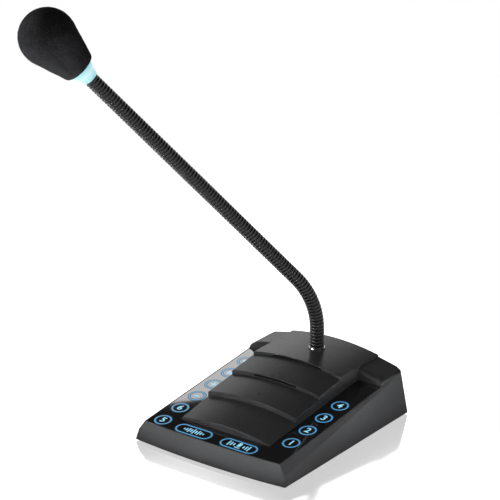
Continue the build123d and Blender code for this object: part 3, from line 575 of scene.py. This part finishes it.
def finishMarks(bm, fade, name, material):
    # all faces look up from the panel, and the fade goes into the UV map
    bm.normal_update()
    uvLayer = bm.loops.layers.uv.new("fade")
    up = panelFrame.to_3x3() @ Vector((0, 0, 1))
    for face in bm.faces:
        if face.normal.dot(up) < 0:
            face.normal_flip()
        for loop in face.loops:
            loop[uvLayer].uv = (loop.vert[fade], 0.5)
    obj = newObject(name, bm, material, smooth=False)
    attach(obj, "base")


def makeKeyStrokes():
    bm = bmesh.new()
    fade = bm.verts.layers.float.new("fade")
    for centre in leftKeys + rightKeys:
        strokeBand(bm, fade, markPlace(centre), panel["strokeRadius"], 0)
    for centre in pills:
        strokeBand(bm, fade, markPlace(centre), panel["pillWidth"] / 2 - panel["pillInset"],
                   panel["pillLength"] / 2 - panel["pillWidth"] / 2)
    finishMarks(bm, fade, "keyStrokes", finish["keyStroke"])


makeKeyStrokes()

# a bar is x, y, width and height in mm, and a disc is x, y and radius
minusSign = [(0, 0, 5.0, 1.3)]
plusSign = minusSign + [(0, 1.6, 1.3, 1.9), (0, -1.6, 1.3, 1.9)]
pauseSign = [(-0.9, 0, 1.5, 5.0), (1.4, 0, 1.5, 5.0)]
dotSign = [(0, 0, 2.2)]
soundWave = [((i - 4) * 2.0, 0, 1.15, height)
             for i, height in enumerate((1.8, 3.4, 5.2, 3.8, 6.0, 3.8, 5.2, 3.4, 1.8))]
microphone = [(0, 0.7, 2.8, 3.8), (0, 2.5, 1.4), (0, -2.5, 4.4, 1.0)]
microphone += [(sign * reach, 0.2, 1.15, height)
               for sign in (-1, 1) for reach, height in ((4.0, 2.8), (6.2, 4.4), (8.4, 6.0))]
glyph = {                                         # millimetres; glows go from 0, dark, to 1
    "lift": 0.004, "digitSize": 8.2, "digitWeight": 0.13, "digitGlow": 0.95,
    "barGlow": 1.0, "barRimGlow": 0.62, "discGlow": 0.9, "discSteps": 20,
}


def drawSign(bm, fade, place, shapes):
    # two sizes make a bar, one makes a disc
    for x, y, *size in shapes:
        if len(size) == 2:
            made = bmesh.ops.create_grid(bm, x_segments=2, y_segments=2, size=0.5)
            for vertex in made["verts"]:
                onRim = max(abs(vertex.co.x), abs(vertex.co.y)) > 0.4
                vertex[fade] = glyph["barRimGlow"] if onRim else glyph["barGlow"]
                vertex.co = Vector((vertex.co.x * size[0] * mm, vertex.co.y * size[1] * mm, 0))
        else:
            made = bmesh.ops.create_circle(bm, cap_ends=True, segments=glyph["discSteps"],
                                           radius=size[0] * mm)
            for vertex in made["verts"]:
                vertex[fade] = glyph["discGlow"]
        for vertex in made["verts"]:
            vertex.co = place @ (vertex.co + Vector((x, y, glyph["lift"])) * mm)


def drawDigit(bm, fade, place, text):
    curve = bpy.data.curves.new("digit", "FONT")
    curve.body = text
    curve.size = glyph["digitSize"] * mm
    curve.align_x = "CENTER"
    curve.align_y = "CENTER"
    curve.offset = glyph["digitWeight"] * mm
    holder = bpy.data.objects.new("digit", curve)
    mesh = bpy.data.meshes.new_from_object(holder)
    bpy.data.objects.remove(holder)
    bpy.data.curves.remove(curve)
    before = set(bm.verts)
    bm.from_mesh(mesh)
    bpy.data.meshes.remove(mesh)
    for vertex in bm.verts:
        if vertex not in before:
            vertex[fade] = glyph["digitGlow"]
            vertex.co = place @ Vector((vertex.co.x, vertex.co.y, glyph["lift"] * mm))


def makeKeyGlyphs():
    bm = bmesh.new()
    fade = bm.verts.layers.float.new("fade")
    # the right column is 1 to 4, the left one 5 and 6 and then signs
    for text, centre in list(zip("1234", rightKeys)) + list(zip("56", leftKeys)):
        drawDigit(bm, fade, markPlace(centre), text)
    for centre, sign in zip(leftKeys[2:] + pills,
                            (minusSign, plusSign, pauseSign, dotSign, soundWave, microphone)):
        drawSign(bm, fade, markPlace(centre), sign)
    finishMarks(bm, fade, "keyGlyphs", finish["keyGlyph"])


makeKeyGlyphs()
print("stage: key marks")

socket = {                                        # millimetres; inset from the face, drop from the top
    "x": -24.0, "face": 75.25, "top": 21.6, "contacts": 8, "contactPitch": 1.02, "contactInset": 6.8,
    "contactDrop": 1.6, "contactSlope": radians(14), "contactSize": (0.45, 7.0, 0.3),
    "contactBevel": 0.05,
}


def makeContacts():
    # sloping spring contacts of the line socket
    bm = bmesh.new()
    shape = Matrix.Diagonal([size * mm for size in socket["contactSize"]] + [1])
    slope = Matrix.Rotation(socket["contactSlope"], 4, "X")
    for i in range(socket["contacts"]):
        made = bmesh.ops.create_cube(bm, size=1.0)
        x = socket["x"] + (i - (socket["contacts"] - 1) / 2) * socket["contactPitch"]
        y, z = socket["face"] - socket["contactInset"], socket["top"] - socket["contactDrop"]
        place = Matrix.Translation((x * mm, y * mm, z * mm))
        bmesh.ops.transform(bm, verts=made["verts"], matrix=place @ slope @ shape)
    bmesh.ops.bevel(bm, geom=bm.edges[:], offset=socket["contactBevel"] * mm, affect="EDGES",
                    segments=1, profile=0.5, material=-1)
    obj = newObject("lineContacts", bm, finish["brass"], smooth=False)
    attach(obj, "base")


makeContacts()
print("stage: sockets")

stage = {                                         # metres, degrees and shares
    "floorSize": 3.0, "floorDrop": 0.0002, "fadeFrom": 0.42, "fadeTo": 0.95,
    "floorColor": (0.93, 0.93, 0.935), "floorRoughness": 0.16, "floorSpecular": 0.42,
    "ownWhite": 1.1, "litShare": 0.46, "mattShare": 0.1,
    "grainScale": 4000.0, "grainBump": 0.06, "grainRelief": 0.0002,
    "backdropTop": 27.0, "backdropBlur": 2.0, "ceiling": 0.03, "fill": 0.08,
}


def makeFloorMaterial():
    # its plain side, which sends light back onto the object
    material, tree, shader = newMaterial("paleFloor")
    shader.inputs["Base Color"].default_value = (*stage["floorColor"], 1)
    shader.inputs["Roughness"].default_value = stage["floorRoughness"]
    shader.inputs["Specular IOR Level"].default_value = stage["floorSpecular"]
    coords = objectCoords(tree)
    distance = vectorNode(tree, "LENGTH", coords).outputs["Value"]
    fade = softStep(tree, distance, stage["fadeFrom"], stage["fadeTo"], 1.0, 0.0)
    feed(tree, shader.inputs["Alpha"], fade)
    # the camera and mirrors see its own white, with the object's reflection and pale shadow in it
    own = tree.nodes.new("ShaderNodeEmission")
    own.inputs["Strength"].default_value = stage["ownWhite"]
    polish = tree.nodes.new("ShaderNodeBsdfGlossy")
    polish.inputs["Color"].default_value = (1, 1, 1, 1)
    polish.inputs["Roughness"].default_value = 0.0
    addRelief(tree, polish, noiseNode(tree, coords, stage["grainScale"]), stage["grainBump"],
              stage["grainRelief"])
    matt = tree.nodes.new("ShaderNodeBsdfDiffuse")
    matt.inputs["Color"].default_value = (*stage["floorColor"], 1)
    seen = mixShaders(tree, stage["litShare"], own, mixShaders(tree, stage["mattShare"], polish, matt))
    # it fades out with distance, and from below it isn't there
    rays = tree.nodes.new("ShaderNodeLightPath").outputs
    straight = mathNode(tree, "MAXIMUM", rays["Is Camera Ray"], rays["Is Transmission Ray"])
    straight = mathNode(tree, "MAXIMUM", straight, rays["Is Glossy Ray"])
    behind = tree.nodes.new("ShaderNodeNewGeometry").outputs["Backfacing"]
    shown = mathNode(tree, "MULTIPLY", fade, mathNode(tree, "SUBTRACT", 1.0, behind))
    faded = mixShaders(tree, shown, tree.nodes.new("ShaderNodeBsdfTransparent"), seen)
    whole = mixShaders(tree, straight, shader, faded)
    feed(tree, tree.nodes["Material Output"].inputs["Surface"], whole.outputs[0])
    return material


def makeFloor():
    bm = bmesh.new()
    bmesh.ops.create_grid(bm, x_segments=1, y_segments=1, size=stage["floorSize"] / 2)
    obj = newObject("floor", bm, makeFloorMaterial(), smooth=False)
    obj.location = (0, 0, -stage["floorDrop"])


makeFloor()


def makeWorld():
    world = bpy.data.worlds.new("studio")
    bpy.context.scene.world = world
    world.use_nodes = True
    tree = world.node_tree
    tree.nodes.clear()
    rays = tree.nodes.new("ShaderNodeLightPath").outputs
    seen = mathNode(tree, "MAXIMUM", rays["Is Camera Ray"], rays["Is Transmission Ray"])
    seen = mathNode(tree, "MAXIMUM", seen, rays["Is Singular Ray"])
    # soft reflections see the same white backdrop, up to where the studio's dark ceiling starts
    split = tree.nodes.new("ShaderNodeSeparateXYZ")
    feed(tree, split.inputs[0], tree.nodes.new("ShaderNodeTexCoord").outputs["Generated"])
    start, end = [sin(radians(stage["backdropTop"] + sign * stage["backdropBlur"])) for sign in (-1, 1)]
    backdrop = softStep(tree, split.outputs["Z"], start, end, 1.0, stage["ceiling"])
    gloss = mathNode(tree, "MULTIPLY", rays["Is Glossy Ray"], backdrop)
    notGloss = mathNode(tree, "SUBTRACT", 1.0, rays["Is Glossy Ray"])
    unseen = mathNode(tree, "ADD", gloss, mathNode(tree, "MULTIPLY", notGloss, stage["fill"]))
    white = tree.nodes.new("ShaderNodeBackground")
    white.inputs["Color"].default_value = (1, 1, 1, 1)
    feed(tree, white.inputs["Strength"], mathNode(tree, "MAXIMUM", seen, unseen))
    output = tree.nodes.new("ShaderNodeOutputWorld")
    feed(tree, output.inputs["Surface"], white.outputs[0])


makeWorld()

view = {                                          # degrees, millimetres and pixels
    "azimuth": 37.01, "elevation": 21.15, "distance": 1704.3, "roll": -0.35,
    "originPixel": (272.84, 425.25), "focalPixels": 2422.32, "pixels": 500, "sensor": 36.0,
    "nearest": 0.05, "farthest": 20,              # metres
}


def viewAxes():
    az, el, roll = radians(view["azimuth"]), radians(view["elevation"]), radians(view["roll"])
    back = Vector((sin(az) * cos(el), -cos(az) * cos(el), sin(el)))
    right = Vector((cos(az), sin(az), 0))
    up = back.cross(right)
    return right * cos(roll) + up * sin(roll), up * cos(roll) - right * sin(roll), back


def cameraPlace():
    right, up, back = viewAxes()
    scale = view["distance"] / view["focalPixels"]
    shiftX, shiftY = [(pixel - view["pixels"] / 2) * scale for pixel in view["originPixel"]]
    place = back * view["distance"] - right * shiftX + up * shiftY
    return (place + Vector((0, 0, panel["stand"]))) * mm


def makeCamera():
    camera = bpy.data.cameras.new("camera")
    camera.sensor_width = view["sensor"]
    camera.lens = view["focalPixels"] / view["pixels"] * view["sensor"]
    camera.clip_start, camera.clip_end = view["nearest"], view["farthest"]
    obj = bpy.data.objects.new("camera", camera)
    obj.matrix_world = standAt(cameraPlace(), *viewAxes())
    bpy.context.scene.collection.objects.link(obj)
    bpy.context.scene.camera = obj


makeCamera()

rearBox = {                                       # metres, but for the spot on the panel in mm
    "radiance": 1.85, "distance": 0.95, "size": (0.75, 0.42), "edge": (0.7, 0.7, 0.07),
    "spot": (-49.85, -34.4, 19.2),
}
# metres and degrees; aim is a point on the lamp's axis, edge the direction of its first side,
# and hidden names the rays that don't meet the lamp
lamps = {
    "frontFill": {"radiance": 1.6, "size": (1.4, 0.5), "edge": (1, 0, 0),
                  "place": (-0.3, -1.3, 0.3), "aim": (-0.05, -0.2, 0.08)},
    # a small lamp that only glints on the rounded edges of the steps
    "edgeLamp": {"radiance": 60.0, "size": (0.2, 0.2), "edge": (1, 0, 0),
                 "place": (-0.67, -0.43, 0.9), "aim": (0, 0, 0), "hidden": ["diffuse"]},
    # low downlights beside the object: the floor sends their light back onto the outer walls
    "floorLampRight": {"radiance": 5.0, "size": (0.19, 0.40), "edge": (1, 0, 0), "spread": 18,
                       "place": (0.185, -0.13, 0.12), "aim": (0.185, -0.13, 0),
                       "hidden": ["camera", "glossy"]},
    "floorLampFront": {"radiance": 9.5, "size": (0.34, 0.18), "edge": (1, 0, 0), "spread": 18,
                       "place": (-0.02, -0.19, 0.12), "aim": (-0.02, -0.19, 0),
                       "hidden": ["camera", "glossy"]},
    # a gridded lamp for the left side of the microphone
    "headLamp": {"radiance": 1.9, "size": (0.25, 0.25), "edge": (0, 0, 1), "spread": 34,
                 "place": (-0.55, -0.36, 0.26), "aim": micEnd, "hidden": ["glossy"]},
    "rightFill": {"radiance": 0.9, "size": (1.2, 0.6), "edge": (0, 1, 0),
                  "place": (1.3, -0.35, 0.36), "aim": (0.1, -0.05, 0.06)},
}


def addLamp(name, radiance, size, edge, place, aim, spread=180, hidden=()):
    light = bpy.data.lights.new(name, "AREA")
    light.shape = "RECTANGLE"
    light.size, light.size_y = size
    light.energy = radiance * pi * size[0] * size[1]
    light.spread = radians(spread)
    obj = bpy.data.objects.new(name, light)
    bpy.context.scene.collection.objects.link(obj)
    back = (Vector(place) - Vector(aim)).normalized()
    first = Vector(edge)
    first = (first - back * first.dot(back)).normalized()
    obj.matrix_world = standAt(Vector(place), first, back.cross(first), back)
    obj.visible_diffuse = "diffuse" not in hidden
    obj.visible_glossy = "glossy" not in hidden
    obj.visible_camera = "camera" not in hidden


def addRearBox():
    # the soft box behind: its right-hand edge shows as a line across the panel, through the spot
    normal = Vector((0, -panel["slope"], 1)).normalized()
    spot = Vector(rearBox["spot"]) * mm
    back = (cameraPlace() - spot).normalized()
    mirrored = normal * (2 * normal.dot(back)) - back
    corner = spot + mirrored * rearBox["distance"]
    edge = Vector(rearBox["edge"])
    edge = (edge - mirrored * edge.dot(mirrored)).normalized()
    across = mirrored.cross(edge).normalized()
    if across.x > 0:
        across = -across
    centre = corner + across * (rearBox["size"][1] / 2)
    addLamp("rearSoftBox", rearBox["radiance"], rearBox["size"], edge, centre, centre - mirrored)


addRearBox()
for name, lamp in lamps.items():
    addLamp(name, **lamp)

bpy.context.scene.view_settings.view_transform = "Standard"

print("stage: floor, light and camera")
